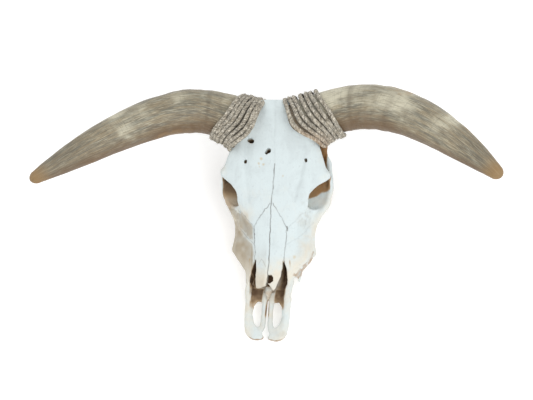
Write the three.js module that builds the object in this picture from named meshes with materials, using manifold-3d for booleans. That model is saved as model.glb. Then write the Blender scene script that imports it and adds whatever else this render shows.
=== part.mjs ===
// A cow skull without its lower jaw, lying on its cheek teeth and on the two processes
// behind the ears, with both horn sheaths and a rope wound round the base of each.
// Millimetres. X runs to the skull's left-hand horn, Y from the muzzle back to the poll, Z up.
// In the tables below Y starts at the tip of the muzzle; the last lines move the finished
// skull so that the origin is under the middle of it.

import * as THREE from 'three';
import { LoftGeometry } from 'three/addons/geometries/LoftGeometry.js';
import { mergeVertices } from 'three/addons/utils/BufferGeometryUtils.js';
import Module from 'manifold-3d';

const wasm = await Module();
wasm.setup();

// ---- driving sizes ----

const seam = 0.3;
const pollY = 478;
const palateZ = 28;
const faceFront = 100;
const toothRow = { front: 133, back: 268, count: 6 };
const orbit = { x: 118, y: 298, z: 119, deep: 66, long: 33, high: 30 };
const nasalThick = 8;
const frontalThick = 30;
const hornSize = { base: 48.5, root: 53, tip: 16, flat: 0.93, taper: 2.5, rootLength: 0.17 };

// The wraps lean, so that they lie further in at the back, and climb in over the bone on top.
const ropeSize = {
  cord: 11,
  turns: 7,
  bulk: 6,
  reach: { left: 0.132, right: 0.112 },
  lean: { left: 0.25, right: 0.26 },
  climb: { left: 14, right: 16 },
};

const hornCourse = {
  left: [[60, 442, 172], [189, 519, 180], [297, 455, 235], [455, 279, 290]],
  right: [[-66, 435, 172], [-185, 494, 180], [-250, 449, 235], [-474, 241, 290]],
};

// Half width and height of a space larger than the skull.
const wide = 150;
const tall = 260;

// Height of the roof of the skull on the midline, from the nasal tips to the poll.
const roofZ = through([
  [95, 84], [110, 88], [150, 103], [200, 119], [268, 144], [330, 164], [400, 191], [450, 210], [486, 212],
]);

// Half width of the face at its widest level, and the height of that level.
const faceHalf = through([
  [100, 47], [123, 50], [143, 58], [162, 72], [176, 83], [188, 85],
  [222, 83], [248, 85], [262, 88], [276, 96], [292, 109],
]);
const faceLevel = through([[100, 56], [133, 50], [188, 63], [240, 76], [292, 88]]);

// Half width of the forehead at the brow, and the height of its edge.
const browHalf = through([
  [236, 62], [262, 72], [280, 80], [304, 95], [320, 106], [331, 115],
  [355, 108], [380, 99], [400, 91], [440, 77], [486, 43],
]);
const browLevel = through([[236, 116], [268, 128], [331, 142], [380, 158], [440, 176], [486, 190]]);

// Half width, lowest and widest level of the braincase and of what lies between the orbits.
const coreHalf = through([[250, 62], [285, 46], [320, 42], [350, 50], [400, 60], [440, 61], [468, 54]]);
const coreFloor = through([[250, 40], [290, 62], [330, 74], [440, 72], [468, 92]]);

// ---- solids ----

function through(knots) {
  const places = knots.map((knot) => knot[0]);
  const values = knots.map((knot) => knot[1]);
  const curve = new THREE.CubicInterpolant(places, values, 1, new Float32Array(1));
  return (place) => curve.evaluate(place)[0];
}

function solidOf(geometry) {
  const surface = new THREE.BufferGeometry();
  surface.setAttribute('position', geometry.attributes.position);
  surface.setIndex(geometry.index);
  const merged = mergeVertices(surface, 0.001);
  const corners = merged.index.array;
  const triangles = [];
  for (let i = 0; i < corners.length; i += 3) {
    const [a, b, c] = corners.slice(i, i + 3);
    if (a !== b && b !== c && c !== a) {
      triangles.push(a, b, c);
    }
  }
  const vertProperties = new Float32Array(merged.attributes.position.array);
  const triVerts = new Uint32Array(triangles);
  return new wasm.Manifold(new wasm.Mesh({ numProp: 3, vertProperties, triVerts }));
}

function curl(value, power) {
  return Math.sign(value) * Math.abs(value) ** (2 / power);
}

// A closed body of rings square to Y. shape(y) gives half width, low, level and high.
function hullAlongY(from, to, steps, around, power, shape) {
  const rings = [];
  for (let i = 0; i <= steps; i += 1) {
    const y = from + (to - from) * i / steps;
    const { half, low, level, high } = shape(y);
    const ring = [];
    for (let k = 0; k < around; k += 1) {
      const angle = 2 * Math.PI * k / around;
      const lift = curl(Math.sin(angle), power);
      const reach = lift > 0 ? high - level : level - low;
      ring.push(new THREE.Vector3(-half * curl(Math.cos(angle), power), y, level + reach * lift));
    }
    rings.push(ring);
  }
  return solidOf(new LoftGeometry(rings, { capStart: true, capEnd: true }));
}

// A closed body of rings along a curve. size(t) gives its half width and half height there,
// spacing says how far along the curve each ring stands, and shift how far one point of a ring
// moves along the curve, from t, the offset of the point and its upward share.
function limb(curve, steps, around, power, size, spacing = (share) => share, shift = () => 0) {
  const rings = [];
  for (let i = 0; i <= steps; i += 1) {
    const t = spacing(i / steps);
    const middle = curve.getPointAt(t);
    const ahead = curve.getTangentAt(t);
    const across = new THREE.Vector3(0, 0, 1).cross(ahead).normalize();
    const up = new THREE.Vector3().crossVectors(ahead, across);
    const [halfWidth, halfHeight] = size(t);
    const ring = [];
    for (let k = 0; k < around; k += 1) {
      const angle = 2 * Math.PI * (k + 0.5) / around;
      const offset = across.clone().multiplyScalar(halfWidth * curl(Math.cos(angle), power));
      offset.addScaledVector(up, halfHeight * curl(Math.sin(angle), power));
      offset.addScaledVector(ahead, shift(t, offset, Math.sin(angle)));
      ring.push(middle.clone().add(offset));
    }
    rings.push(ring);
  }
  return solidOf(new LoftGeometry(rings, { capStart: true, capEnd: true }));
}

function bar(points, steps, around, power, size) {
  const curve = new THREE.CatmullRomCurve3(points.map((point) => new THREE.Vector3(...point)));
  return limb(curve, steps, around, power, size);
}

// An upright body with flat ends. sizes lists [z, middle x, middle y, half x, half y].
function post(sizes, around, power) {
  const rings = sizes.map(([z, x, y, halfX, halfY]) => {
    const ring = [];
    for (let k = 0; k < around; k += 1) {
      const angle = 2 * Math.PI * (k + 0.5) / around;
      const outX = halfX * curl(Math.cos(angle), power);
      const outY = halfY * curl(Math.sin(angle), power);
      ring.push(new THREE.Vector3(x + outX, y + outY, z));
    }
    return ring;
  });
  return solidOf(new LoftGeometry(rings, { capStart: true, capEnd: true }));
}

function egg(x, y, z, halfX, halfY, halfZ) {
  const ball = new THREE.SphereGeometry(1, 10, 6);
  ball.scale(halfX, halfY, halfZ);
  ball.translate(x, y, z);
  return solidOf(ball);
}

// An upright prism on an outline in X and Y.
function planPrism(outline, low, high) {
  const shape = new THREE.Shape(outline.map((point) => new THREE.Vector2(...point)));
  const prism = new THREE.ExtrudeGeometry(shape, { depth: high - low, bevelEnabled: false });
  prism.translate(0, 0, low);
  return solidOf(prism);
}

// A level prism on an outline in Y and Z, running across in X.
function sidePrism(outline, from, to) {
  const shape = new THREE.Shape(outline.map((point) => new THREE.Vector2(...point)));
  const prism = new THREE.ExtrudeGeometry(shape, { depth: to - from, bevelEnabled: false });
  prism.applyMatrix4(new THREE.Matrix4().set(0, 0, 1, from, 1, 0, 0, 0, 0, 1, 0, 0, 0, 0, 0, 1));
  return solidOf(prism);
}

function mirrored(solid) {
  const mesh = solid.getMesh();
  const vertProperties = mesh.vertProperties.map((value, i) => (i % mesh.numProp === 0 ? -value : value));
  const triVerts = mesh.triVerts.slice();
  for (let i = 0; i < triVerts.length; i += 3) {
    [triVerts[i], triVerts[i + 1]] = [triVerts[i + 1], triVerts[i]];
  }
  return new wasm.Manifold(new wasm.Mesh({ numProp: mesh.numProp, vertProperties, triVerts }));
}

function bothSides(solid) {
  return solid.add(mirrored(solid));
}

function joined(solids) {
  return solids.reduce((sum, solid) => sum.add(solid));
}

function largest(solid) {
  const bodies = solid.decompose();
  return bodies.reduce((best, body) => (body.volume() > best.volume() ? body : best));
}

// ---- horns and ropes ----

function hornCurve(side) {
  return new THREE.CubicBezierCurve3(...hornCourse[side].map((point) => new THREE.Vector3(...point)));
}

function hornRadius(t) {
  const { base, root, tip, taper, rootLength } = hornSize;
  const body = tip + (base - tip) * (1 - t ** taper);
  const flare = (root - base) * Math.max(0, 1 - t / rootLength) ** 2;
  const blunt = Math.sqrt(Math.max(0.1, 1 - (Math.max(0, t - 0.98) / 0.02) ** 2));
  return (body + flare) * blunt;
}

function horn(side, extra = 0) {
  return limb(hornCurve(side), 15, 12, 2, (t) => {
    const radius = hornRadius(t) + extra;
    return [radius, radius * hornSize.flat];
  }, (share) => Math.sin(Math.PI / 2 * share), (t) => -extra * (1 - t));
}

// A sleeve round the root of the horn. thickness(share) says how thick it is along its length,
// and overrun how far it goes on past the two ends of the rope.
function sleeve(side, steps, thickness, overrun = 0) {
  const reach = ropeSize.reach[side];
  return limb(hornCurve(side), steps, 12, 2, (t) => {
    const radius = hornRadius(t);
    const wind = thickness(t / reach) + ropeSize.bulk * (1 - t / reach) ** 1.5;
    return [radius + wind, radius * hornSize.flat + wind];
  }, (share) => reach * share, (t, offset, upward) => {
    const climb = ropeSize.climb[side] * Math.max(0, upward) ** 1.5;
    return overrun * (2 * t / reach - 1) - ropeSize.lean[side] * offset.y - climb;
  });
}

function rope(side) {
  const { turns, cord } = ropeSize;
  const ribs = (share) => cord * (0.5 + 0.5 * Math.abs(Math.sin(Math.PI * turns * share)));
  return sleeve(side, 2 * turns, ribs).subtract(horn(side, seam));
}

// The room that the horn and the rope of one side take out of the bone round them. It is as
// thick as the cord and a loose millimetre more.
function fittingRoom(side) {
  return horn(side, seam).add(sleeve(side, 4, () => ropeSize.cord + 1, 2));
}

// ---- bone ----

function face() {
  const block = hullAlongY(faceFront, 292, 9, 14, 2.1, (y) => ({
    half: faceHalf(y),
    low: palateZ,
    level: faceLevel(y),
    high: roofZ(y),
  }));
  const nasalCavity = hullAlongY(90, 236, 3, 10, 2.4, (y) => ({
    half: 36 - (y - 90) * 0.06,
    low: palateZ + 8,
    level: palateZ + 30,
    high: roofZ(y) - nasalThick,
  }));
  const underCheek = bothSides(egg(106, 292, 36, 38, 62, 36));
  return block.subtract(nasalCavity).subtract(underCheek);
}

function cheekTeeth() {
  const { front, back, count } = toothRow;
  const length = (back - front) / count;
  const teeth = [];
  for (let i = 0; i < count; i += 1) {
    const y = front + length * (i + 0.5);
    const x = 49 + 1.9 * i;
    const half = 8 + 0.8 * i;
    const crown = i < count / 2 ? 2 : 0;
    const top = [palateZ + 12, x, y, half + 3, length * 0.53];
    teeth.push(post([[crown, x + 1, y, half, length * 0.47], top], 4, 20));
  }
  return joined(teeth);
}

// The first two cheek teeth of the left side have fallen out.
function lostTeeth() {
  const outline = [[36, 126], [64, 126], [68, 150], [72, 178], [44, 178], [40, 150]];
  return planPrism(outline, -1, palateZ + 3);
}

function cheekBone() {
  const course = [
    [86, 246, 76],
    [94, 268, 82],
    [111, 292, 84],
    [117, 322, 88],
    [116, 350, 91],
    [112, 374, 94],
    [104, 398, 96],
    [92, 416, 98],
  ];
  const arch = bar(course, 8, 6, 2.4, (t) => [6 + 3 * (1 - t), 8 + 7 * (1 - t) ** 2]);
  const backOfOrbit = bar([[116, 333, 90], [116, 338, 120], [112, 334, 150]], 3, 6, 2, () => [7, 8]);
  const orbitFloor = [
    [50, 258], [88, 258], [101, 274], [114, 300], [117, 330], [113, 354], [96, 362], [56, 350],
  ];
  return joined([arch, backOfOrbit, planPrism(orbitFloor, 73, 85)]);
}

function forehead() {
  return hullAlongY(236, pollY, 9, 14, 2.7, (y) => ({
    half: browHalf(y),
    low: roofZ(y) - frontalThick - 4,
    level: browLevel(y),
    high: roofZ(y),
  }));
}

function braincase() {
  return hullAlongY(250, 468, 4, 12, 2.3, (y) => ({
    half: coreHalf(y),
    low: coreFloor(y),
    level: 118,
    high: roofZ(y) - 6,
  }));
}

function hornStalk() {
  return bar([[10, 424, 154], [70, 445, 168]], 1, 10, 2, () => [48, 42]);
}

function backOfHead() {
  const plate = post([
    [66, 0, 446, 62, 12],
    [88, 0, 444, 92, 14],
    [108, 0, 444, 102, 15],
    [122, 0, 447, 88, 16],
    [150, 0, 453, 62, 17],
    [206, 0, 461, 50, 16],
  ], 12, 2.8);
  const condyles = bothSides(egg(31, 460, 63, 22, 19, 27));
  const besideCondyles = bothSides(post([
    [0, 60, 429, 8, 7],
    [12, 61, 428, 9, 10],
    [45, 64, 430, 9, 17],
    [84, 68, 438, 14, 16],
  ], 6, 2.4));
  const earBase = bothSides(egg(84, 418, 96, 20, 26, 20));
  const jawJoint = bothSides(egg(76, 382, 90, 32, 17, 11));
  const bullae = bothSides(egg(46, 399, 54, 11, 16, 26));
  return joined([plate, condyles, besideCondyles, earBase, jawJoint, bullae]);
}

function underside() {
  const basinCourse = [[0, 296, 84], [0, 350, 76], [0, 405, 68], [0, 452, 70]];
  const basin = bar(basinCourse, 3, 8, 2.6, (t) => [15 + 13 * t, 11]);
  const wingCourse = [[25, 262, 60], [23, 296, 58], [22, 326, 62]];
  const wings = bothSides(bar(wingCourse, 2, 8, 3.4, (t) => [4.5, 34 - 14 * t]));
  const hookCourse = [[23, 306, 50], [24, 318, 36], [26, 326, 27]];
  const hooks = bothSides(bar(hookCourse, 2, 6, 2, (t) => [4.5 - t, 5 - t]));
  return joined([basin, wings, hooks]);
}

function hollows() {
  const eye = bothSides(egg(orbit.x, orbit.y, orbit.z, orbit.deep, orbit.long, orbit.high));
  const templeCourse = [[82, 322, 116], [82, 372, 120], [84, 424, 128]];
  const behindEye = bothSides(bar(templeCourse, 2, 8, 2.4, (t) => [24 - 6 * t, 24 - 6 * t]));
  const spinalHole = bar([[0, 500, 90], [0, 452, 90], [0, 410, 100]], 2, 10, 2, () => [18, 16]);
  const throat = bar([[0, 345, 44], [0, 300, 46], [0, 272, 52]], 2, 8, 2.6, () => [18, 24]);
  return joined([eye, behindEye, spinalHole, throat]);
}

function wholeSkull() {
  const bone = joined([face(), forehead(), braincase(), backOfHead(), underside()]);
  const open = bone.subtract(hollows());
  return joined([open, bothSides(cheekTeeth()), bothSides(cheekBone()), bothSides(hornStalk())]);
}

function premaxilla() {
  const bodyOutline = [
    [6.2, 12], [11, 7], [27, 7], [40, 16], [47, 31], [48, 52],
    [31, 54], [26, 38], [13, 34], [4, 42], [3.6, 31], [8, 20],
  ];
  const floorOutline = [[1, 88], [14, 85], [25, 86], [31, 74], [33, 54], [45, 54], [45, 110], [1, 110]];
  const sideCourse = [[39, 34, 27], [40.5, 60, 34], [41, 84, 46], [41, 108, 62]];
  const sideBar = bar(sideCourse, 4, 8, 2.3, (t) => [8 - 2 * t, 7 + 7 * t]);
  const rodCourse = [[10, 28, 27], [7, 60, 32], [7, 96, 37]];
  const palateRod = bar(rodCourse, 2, 8, 2.3, (t) => [5.2, 6 - t]);
  const end = faceFront - seam;
  const beforeMaxilla = planPrism([[0, 0], [wide, 0], [wide, end], [0, end]], 0, tall);
  const plates = planPrism(bodyOutline, 20, 32).add(planPrism(floorOutline, 29, 37));
  return joined([plates, sideBar, palateRod]).intersect(beforeMaxilla);
}

function vomer() {
  const course = [[0, 104, 50], [0, 150, 55], [0, 225, 66]];
  return bar(course, 3, 8, 2.4, (t) => [5 - 2 * t, 12 + 6 * t]);
}

// ---- parting the skull into its bones ----

const roofLine = [222, 268, 330, 400, 450, 500];

const nasalOutline = [
  [0, 90], [26, 90], [29, 132], [32, 160], [33, 222], [20, 246], [3, 268], [0, 268],
];
const frontalOutline = [
  [-1, 215], [33, 222], [52, 238], [76, 264], [100, 280], [wide, 300], [wide, 520], [-1, 520],
];
const lacrimalOutline = [
  [33, 190], [44, 196], [72, 226], [84, 250], [104, 262], [104, 285], [33, 285],
];
const zygomaticOutline = [
  [70, 232], [100, 226], [wide, 230], [wide, 352], [104, 340], [60, 300], [74, 262],
];
const maxillaProfile = [
  [90, -1], [300, -1], [300, tall], [170, tall], [164, 102], [faceFront, 62], [90, 56],
];
const sphenoidOutline = [[-wide, 300], [wide, 300], [wide, 404], [-wide, 404]];
const temporalOutline = [[30, 352], [wide, 340], [wide, 424], [70, 438], [46, 424]];

function above(depth) {
  const under = roofLine.map((y) => [y, roofZ(y) - depth]);
  return sidePrism([[80, roofZ(95) - depth], ...under, [520, tall], [80, tall]], -wide, wide);
}

const regions = [
  { name: 'nasal', space: planPrism(nasalOutline, 0, tall).intersect(above(nasalThick + 2)) },
  {
    name: 'frontal',
    space: planPrism(frontalOutline, 0, tall).intersect(above(frontalThick)),
    single: true,
  },
  { name: 'lacrimal', space: planPrism(lacrimalOutline, 94, tall) },
  { name: 'zygomatic', space: planPrism(zygomaticOutline, 62, 125) },
  { name: 'maxilla', space: sidePrism(maxillaProfile, -wide, wide) },
  { name: 'temporal', space: planPrism(temporalOutline, 62, 180) },
];

// ---- materials and meshes ----

function finish(name, color, roughness) {
  return new THREE.MeshStandardMaterial({ name, color, roughness, metalness: 0 });
}

const bone = finish('bone', 0xe4e4e0, 0.75);
const dullBone = finish('dull bone', 0xd8cdb8, 0.8);
const hornSheath = finish('horn', 0x9c9280, 0.45);
const jute = finish('jute rope', 0x928878, 0.95);

const skull = new THREE.Group();

const room = { left: fittingRoom('left').add(lostTeeth()), right: fittingRoom('right') };
const middleSpace = planPrism(sphenoidOutline, -1, tall);

function place(name, solid, material) {
  const { vertProperties, triVerts } = largest(solid).getMesh();
  const geometry = new THREE.BufferGeometry();
  geometry.setAttribute('position', new THREE.BufferAttribute(vertProperties, 3));
  geometry.setIndex(new THREE.BufferAttribute(triVerts, 1));
  geometry.computeVertexNormals();
  const mesh = new THREE.Mesh(geometry, material);
  mesh.name = name;
  skull.add(mesh);
}

function placePair(name, solid, material) {
  place(`${name}_left`, solid.subtract(room.left), material);
  place(`${name}_right`, mirrored(solid).subtract(room.right), material);
}

// The space widened by the width of a seam both ways along every axis.
function widened(space) {
  const shifts = [[1, 0, 0], [-1, 0, 0], [0, 1, 0], [0, -1, 0], [0, 0, 1], [0, 0, -1]];
  return joined(shifts.map((shift) => space.translate(shift.map((step) => step * seam))));
}

const leftHalf = planPrism([[seam / 2, -20], [wide, -20], [wide, 540], [seam / 2, 540]], -20, tall);
let rest = wholeSkull();
for (const { name, space, single } of regions) {
  if (single) {
    place(name, rest.intersect(bothSides(space)).subtract(room.left).subtract(room.right), bone);
  } else {
    placePair(name, rest.intersect(space).intersect(leftHalf), bone);
  }
  rest = rest.subtract(bothSides(widened(space)));
}

placePair('premaxilla', premaxilla(), bone);
place('vomer', vomer(), dullBone);
rest = rest.subtract(room.left).subtract(room.right);
place('sphenoid', rest.intersect(middleSpace), dullBone);
place('occipital', rest.subtract(widened(middleSpace)), dullBone);
for (const side of ['left', 'right']) {
  place(`horn_${side}`, horn(side), hornSheath);
  place(`rope_${side}`, rope(side), jute);
}

// The origin goes under the middle of the finished skull, at the level that it rests on.
const box = new THREE.Box3().setFromObject(skull);
const middle = box.getCenter(new THREE.Vector3());
skull.position.set(-middle.x, -middle.y, -box.min.z);

export default skull;
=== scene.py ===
# Cow skull with a rope wound round the root of each horn, lying on its cheek teeth.
# Shapes are worked out in millimetres, with y counted back from the tip of the muzzle and
# x to the skull's own left. toFrame() puts them into the frame's metres.
import math
import time

import bpy
import numpy as np
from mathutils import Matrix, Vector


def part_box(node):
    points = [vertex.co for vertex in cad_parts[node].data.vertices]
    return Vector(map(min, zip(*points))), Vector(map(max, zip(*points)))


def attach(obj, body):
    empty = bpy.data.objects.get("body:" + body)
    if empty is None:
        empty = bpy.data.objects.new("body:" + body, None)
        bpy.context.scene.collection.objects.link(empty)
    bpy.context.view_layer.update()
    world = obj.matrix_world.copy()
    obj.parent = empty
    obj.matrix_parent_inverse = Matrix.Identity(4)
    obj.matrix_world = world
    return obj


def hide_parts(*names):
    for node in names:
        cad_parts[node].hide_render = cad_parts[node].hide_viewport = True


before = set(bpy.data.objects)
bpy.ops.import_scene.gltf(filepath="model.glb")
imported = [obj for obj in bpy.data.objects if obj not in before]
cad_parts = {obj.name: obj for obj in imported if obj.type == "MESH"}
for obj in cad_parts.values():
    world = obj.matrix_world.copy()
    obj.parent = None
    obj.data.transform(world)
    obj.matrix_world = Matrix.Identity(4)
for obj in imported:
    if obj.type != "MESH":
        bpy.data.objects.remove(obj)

import openvdb
from mathutils import Matrix, Vector

startTime = time.time()
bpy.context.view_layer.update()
mm = 0.001

muzzleTip = 7  # the first bone of the muzzle starts this far along y
tipLeft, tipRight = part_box("premaxilla_left"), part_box("premaxilla_right")
skullOrigin = np.array([(tipLeft[0].x + tipRight[1].x) / 2 / mm, tipLeft[0].y / mm - muzzleTip, 0])


def toFrame(points):
    return (np.asarray(points, float) + skullOrigin) * mm


def say(stage):
    print(f"{time.time() - startTime:6.1f} s  {stage}")


# camera: turned round its three axes, aimed at a place in the skull, and set back from it
cameraView = {
    "roll": 2, "yaw": 11.5, "pitch": 22, "aim": (0, 250, 120), "side": -12.24, "rise": 33.37, "back": 1800,
    "lens": 57.52,
}


def turn(axis, degrees):
    return np.array(Matrix.Rotation(math.radians(degrees), 3, axis))


def newObject(name, data):
    thing = bpy.data.objects.new(name, data)
    bpy.context.scene.collection.objects.link(thing)
    return thing


def placeCamera():
    view = cameraView
    axes = turn("Z", -view["roll"]) @ turn("Y", -view["yaw"]) @ turn("X", -view["pitch"])
    spot = np.array(view["aim"]) + axes.T @ np.array([view["side"], view["rise"], view["back"]])
    camera = newObject("camera", bpy.data.cameras.new("camera"))
    camera.data.lens = view["lens"]
    camera.data.clip_end = 20
    placed = Matrix(axes.T.tolist()).to_4x4()
    placed.translation = Vector(toFrame(spot))
    camera.matrix_world = placed
    bpy.context.scene.camera = camera


placeCamera()


# curves and noise

def through(*knots):
    # smooth curve through (place, value) pairs
    places, values = np.array(knots, float).T
    slopes = np.gradient(values, places)

    def curve(place):
        place = np.clip(place, places[0], places[-1])
        k = np.clip(np.searchsorted(places, place) - 1, 0, len(places) - 2)
        gap = places[k + 1] - places[k]
        t = (place - places[k]) / gap
        rise = values[k + 1] - values[k]
        a = slopes[k] * gap - rise
        b = rise - slopes[k + 1] * gap
        return (values[k] + t * rise + t * (1 - t) * ((1 - t) * a + t * b)).astype(np.float32)

    return curve


def flat(value):
    return lambda place: value + 0 * place


def smoothPath(points, count):
    points = np.array(points, float)
    ends = np.vstack([2 * points[0] - points[1], points, 2 * points[-1] - points[-2]])
    t = np.linspace(0, len(points) - 1, count)
    k = np.minimum(t.astype(int), len(points) - 2)
    u = (t - k)[:, None]
    a, b, c, d = ends[k], ends[k + 1], ends[k + 2], ends[k + 3]
    return 0.5 * (2 * b + (c - a) * u + (2 * a - 5 * b + 4 * c - d) * u**2 + (3 * b - a - 3 * c + d) * u**3)


def bumps(x, y, z, size, seed):
    # smooth noise from -1 to 1, with bumps of about the size
    lattice = np.random.default_rng(seed).uniform(-1, 1, (32, 32, 32)).astype(np.float32)
    cells, shares = [], []
    for value in (x, y, z):
        value = np.asarray(value, np.float32) / size + 1000
        whole = np.floor(value)
        share = value - whole
        cells.append(whole.astype(np.int64))
        shares.append(share * share * (3 - 2 * share))
    total = 0
    for i in (0, 1):
        for j in (0, 1):
            for k in (0, 1):
                weight = (shares[0] if i else 1 - shares[0]) * (shares[1] if j else 1 - shares[1])
                weight = weight * (shares[2] if k else 1 - shares[2])
                total = total + weight * lattice[(cells[0] + i) % 32, (cells[1] + j) % 32, (cells[2] + k) % 32]
    return total


def smoothMin(a, b, blend):
    if blend <= 0:
        return np.minimum(a, b)
    near = np.maximum(blend - np.abs(a - b), 0) / blend
    return np.minimum(a, b) - near * near * blend * 0.25


def ease(value, low, high):
    # from 0 at low to 1 at high, smoothly
    t = np.clip((value - low) / (high - low), 0, 1)
    return t * t * (3 - 2 * t)


def fade(value, low, high):
    return 1 - ease(value, low, high)


def within(value, start, full, last, end):
    # rises from start to full, stays at 1, and falls from last to end
    return ease(value, start, full) * fade(value, last, end)


# a block of distances that the bone is modelled in: below 0 is bone

grain = 1.2
farAway = 14.0


class Block:
    def __init__(self, low, high):
        self.low = np.array(low, float)
        counts = np.ceil((np.array(high, float) - self.low) / grain).astype(int) + 1
        self.values = np.full(counts, farAway, np.float32)

    def window(self, low, high):
        first = np.clip(np.floor((np.array(low, float) - self.low) / grain).astype(int), 0, self.values.shape)
        last = np.clip(np.ceil((np.array(high, float) - self.low) / grain).astype(int) + 1, 0, self.values.shape)
        axes = [(self.low[k] + grain * np.arange(first[k], last[k])).astype(np.float32) for k in range(3)]
        place = tuple(slice(first[k], last[k]) for k in range(3))
        return place, axes[0][:, None, None], axes[1][None, :, None], axes[2][None, None, :]

    def change(self, shape, blend, sign):
        low, high, distance = shape
        place, x, y, z = self.window(np.array(low) - blend - 6, np.array(high) + blend + 6)
        if self.values[place].size:
            self.values[place] = sign * smoothMin(sign * self.values[place], distance(x, y, z), blend)

    def join(self, shape, blend=0.0):
        self.change(shape, blend, 1)

    def cut(self, shape, blend=0.0):
        self.change(shape, blend, -1)


def ball(middle, radii, turned=0):
    # egg, turned by so many degrees about z
    (cx, cy, cz), (rx, ry, rz) = middle, radii
    c, s = math.cos(math.radians(turned)), math.sin(math.radians(turned))
    reachX, reachY = (max(rx, ry),) * 2 if turned else (rx, ry)

    def distance(x, y, z):
        u = (x - cx) * c + (y - cy) * s
        v = (y - cy) * c - (x - cx) * s
        w = z - cz
        k0 = np.sqrt((u / rx) ** 2 + (v / ry) ** 2 + (w / rz) ** 2)
        k1 = np.sqrt((u / rx**2) ** 2 + (v / ry**2) ** 2 + (w / rz**2) ** 2)
        return k0 * (k0 - 1) / np.maximum(k1, 1e-4)

    return (cx - reachX, cy - reachY, cz - rz), (cx + reachX, cy + reachY, cz + rz), distance


def limb(points, radii, squeeze=(1, 1, 1), count=0):
    # rounded bar through the points; squeeze narrows its section along the axes
    path = smoothPath(points, count) if count else np.array(points, float)
    thick = np.interp(np.linspace(0, 1, len(path)), np.linspace(0, 1, len(radii)), radii)
    squeeze = np.array(squeeze, float)
    scaled = path / squeeze

    def distance(x, y, z):
        x, y, z = x / np.float32(squeeze[0]), y / np.float32(squeeze[1]), z / np.float32(squeeze[2])
        best = np.float32(1e6)
        for a, b, ra, rb in zip(scaled[:-1], scaled[1:], thick[:-1], thick[1:]):
            a, ab = a.astype(np.float32), (b - a).astype(np.float32)
            t = ((x - a[0]) * ab[0] + (y - a[1]) * ab[1] + (z - a[2]) * ab[2]) / (ab @ ab)
            t = np.clip(t, 0, 1)
            d = np.sqrt((x - a[0] - t * ab[0]) ** 2 + (y - a[1] - t * ab[1]) ** 2 + (z - a[2] - t * ab[2]) ** 2)
            best = np.minimum(best, d - np.float32(ra) - t * np.float32(rb - ra))
        return best * np.float32(squeeze.min())

    room = thick[:, None] * squeeze
    return (path - room).min(0), (path + room).max(0), distance


def loft(start, end, half, low, level, high, power):
    # body of rounded sections square to y, each size a function of y
    probe = np.linspace(start, end, 60)

    def distance(x, y, z):
        h, a, m, b = half(y), low(y), level(y), high(y)
        w = z - m
        reach = np.where(w > 0, np.maximum(b - m, 1), np.maximum(m - a, 1))
        k = (np.abs(x / h) ** power + np.abs(w / reach) ** power) ** np.float32(1 / power)
        d = (1 - 1 / np.maximum(k, 0.05)) * np.sqrt(x**2 + w**2)
        return np.maximum(d, np.maximum(start - y, y - end))

    wide = half(probe).max()
    return (-wide, start, low(probe).min()), (wide, end, high(probe).max()), distance


def outlineDistance(x, y, outline):
    # distance to the edge of an outline in x and y, below 0 inside it
    best = np.full(np.broadcast(x, y).shape, 1e9, np.float32)
    inside = np.zeros(best.shape, bool)
    points = np.array(outline, float)
    for a, b in zip(points, np.roll(points, -1, axis=0)):
        ab = b - a
        t = np.clip(((x - a[0]) * ab[0] + (y - a[1]) * ab[1]) / (ab @ ab), 0, 1)
        best = np.minimum(best, (x - a[0] - t * ab[0]) ** 2 + (y - a[1] - t * ab[1]) ** 2)
        if ab[1]:
            crosses = (a[1] > y) != (b[1] > y)
            inside ^= crosses & ((x - a[0]) - (y - a[1]) * ab[0] / ab[1] < 0)
    return np.where(inside, -1, 1) * np.sqrt(best)


def lineDistance(x, y, line):
    best = np.full(np.broadcast(x, y).shape, 1e9, np.float32)
    points = np.array(line, float)
    for a, b in zip(points[:-1], points[1:]):
        ab = b - a
        t = np.clip(((x - a[0]) * ab[0] + (y - a[1]) * ab[1]) / (ab @ ab), 0, 1)
        best = np.minimum(best, np.hypot(x - a[0] - t * ab[0], y - a[1] - t * ab[1]))
    return best


def panel(outline, low, high, rounding=0.0):
    # upright slab on an outline in x and y; low and high are heights or functions of x and y
    points = np.array(outline, float)
    lowAt = low if callable(low) else lambda x, y: low
    highAt = high if callable(high) else lambda x, y: high
    probe = points[:, 0], points[:, 1]

    def distance(x, y, z):
        d = outlineDistance(x, y, outline) + rounding
        e = np.maximum(lowAt(x, y) - z, z - highAt(x, y)) + rounding
        return np.sqrt(np.maximum(d, 0) ** 2 + np.maximum(e, 0) ** 2) + np.minimum(np.maximum(d, e), 0) - rounding

    return (*points.min(0), np.min(lowAt(*probe))), (*points.max(0), np.max(highAt(*probe))), distance


# sizes that the parts of the head share, along y

roofZ = through(
    (88, 80), (110, 88), (150, 103), (200, 119), (268, 144), (330, 164), (400, 191), (450, 209), (488, 213))
faceHalf = through(
    (96, 48), (123, 50), (143, 58), (162, 72), (176, 83), (188, 85), (222, 83), (248, 85), (262, 87),
    (276, 95), (292, 108))
faceLevel = through((96, 55), (133, 50), (188, 63), (240, 76), (292, 88))
browHalf = through(
    (222, 60), (236, 62), (262, 71), (280, 79), (304, 95), (320, 106), (331, 115), (355, 108), (380, 99),
    (400, 91), (440, 76), (488, 42))
browLevel = through((222, 102), (236, 112), (268, 127), (331, 142), (380, 158), (440, 176), (488, 192))
coreHalf = through((250, 62), (285, 46), (320, 42), (350, 50), (400, 59), (440, 60), (468, 52))
coreFloor = through((250, 40), (290, 62), (330, 74), (440, 72), (468, 92))
nasalHalf = through((96, 21), (110, 25), (132, 29), (160, 32), (222, 33))
palateZ = 28
browPower = 2.7
facePower = 2.1


def browZ(x, y):
    # height of the forehead
    share = np.clip(np.abs(x / browHalf(y)), 0, 0.999)
    return browLevel(y) + (roofZ(y) - browLevel(y)) * (1 - share**browPower) ** (1 / browPower)


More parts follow.
